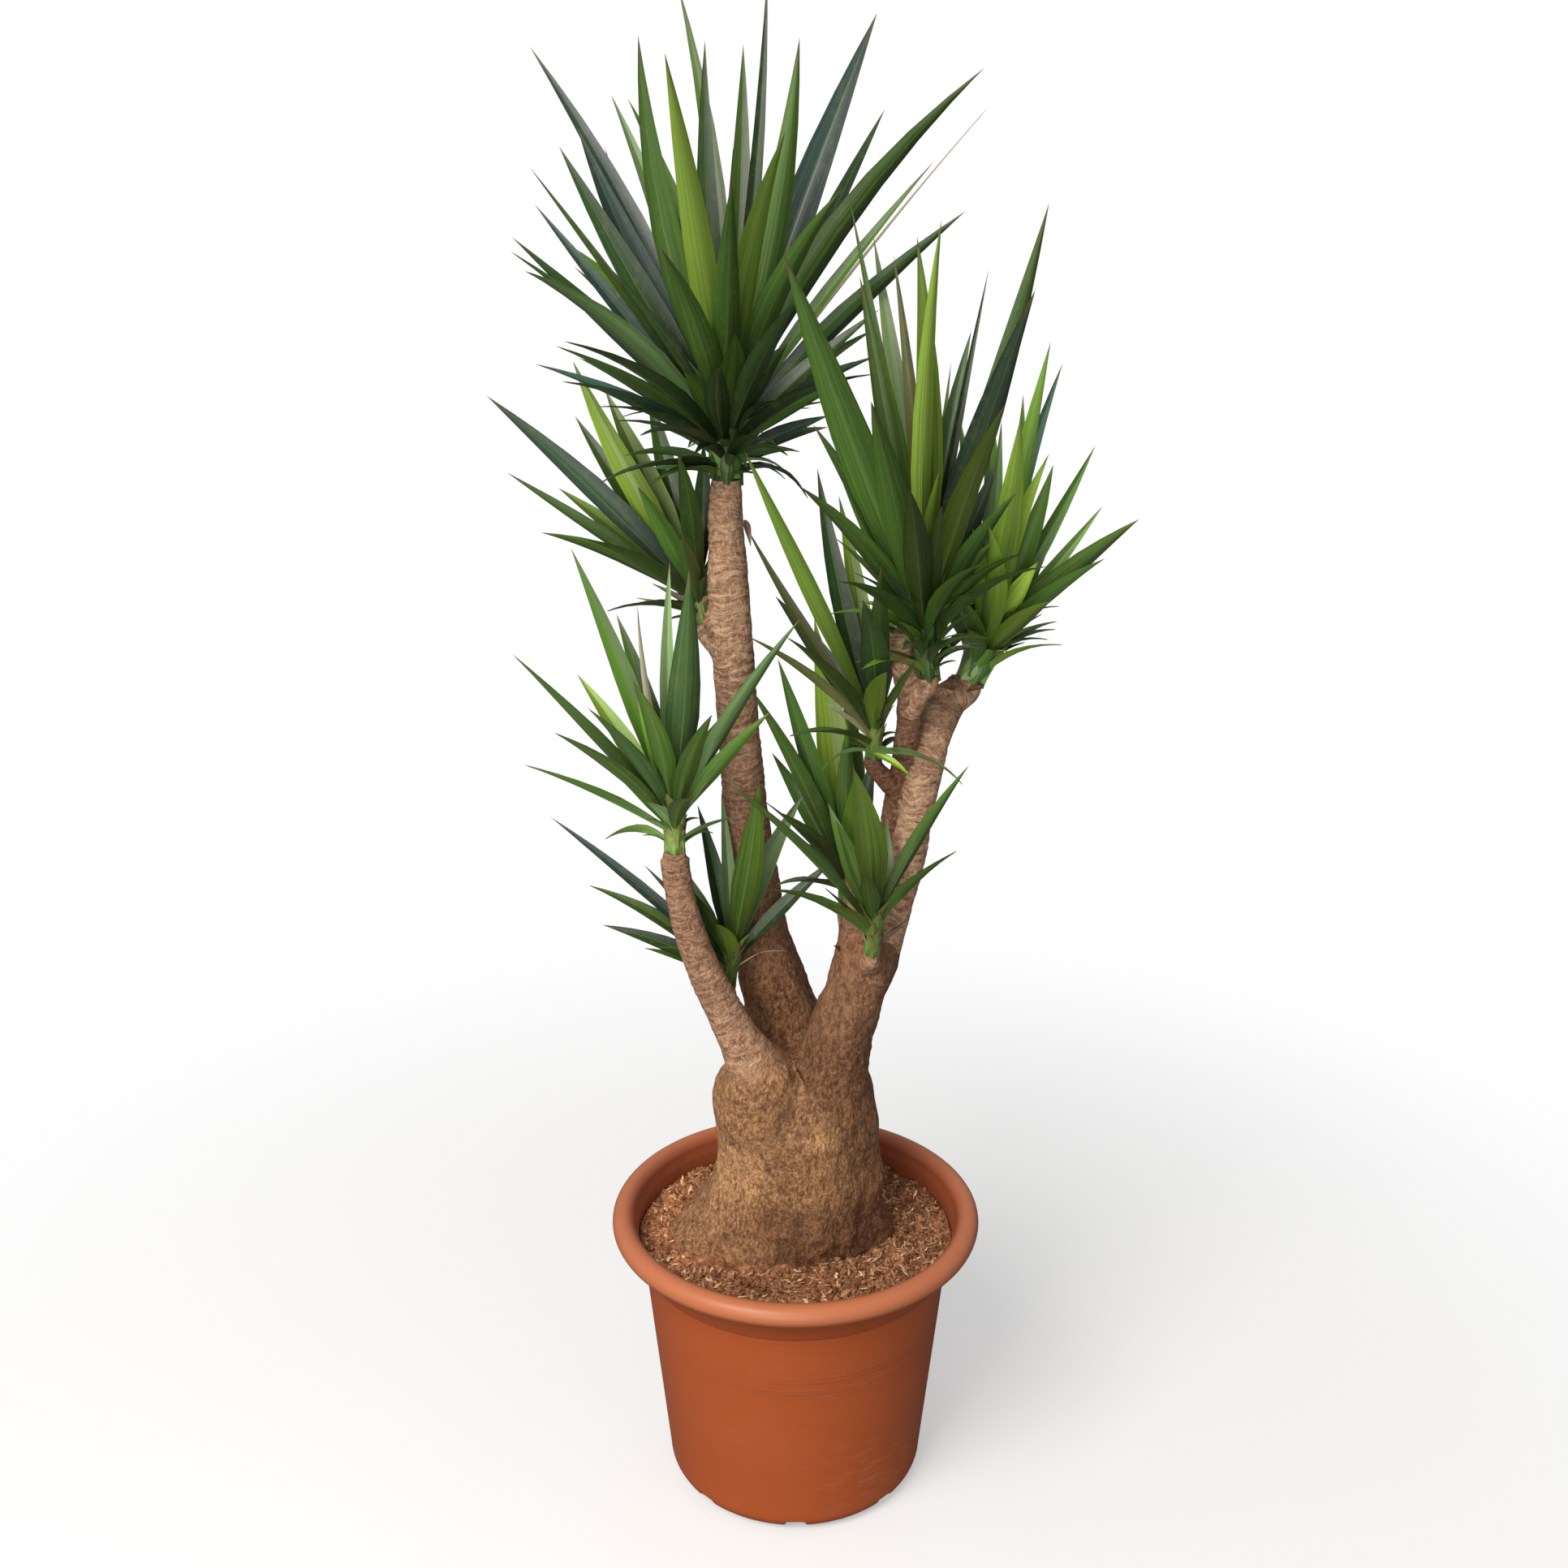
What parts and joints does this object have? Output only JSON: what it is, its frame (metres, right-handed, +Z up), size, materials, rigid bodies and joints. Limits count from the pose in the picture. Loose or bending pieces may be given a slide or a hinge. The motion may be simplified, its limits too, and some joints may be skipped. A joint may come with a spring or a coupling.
{
  "type": "potted yucca",
  "caption": "Tall branched yucca with sword-shaped leaves in heads, rooted in soil in a round rolled-rim tub.",
  "frame": {"origin": "centre of the tub's base, on the floor", "axes": "+Z up along the tub's axis, front of the plant towards -Y, +X to the right as seen from the front"},
  "size_m": [0.6982, 0.6367, 1.7604],
  "materials": {
    "tub": "satin moulded plastic, terracotta colour",
    "soil": "coarse coir and bark potting mix",
    "bark": "ringed and fissured bark",
    "leaf": "satin green leaf"
  },
  "bodies": {
    "root": {"tub": "tub", "soil": "soil", "trunk": "bark", "head_top": "leaf", "head_upper_middle": "leaf", "head_right": "leaf", "head_middle": "leaf", "head_inner_right": "leaf", "head_low_right": "leaf", "head_low_centre": "leaf", "head_left": "leaf", "head_back_left": "leaf"}
  },
  "joints": []
}
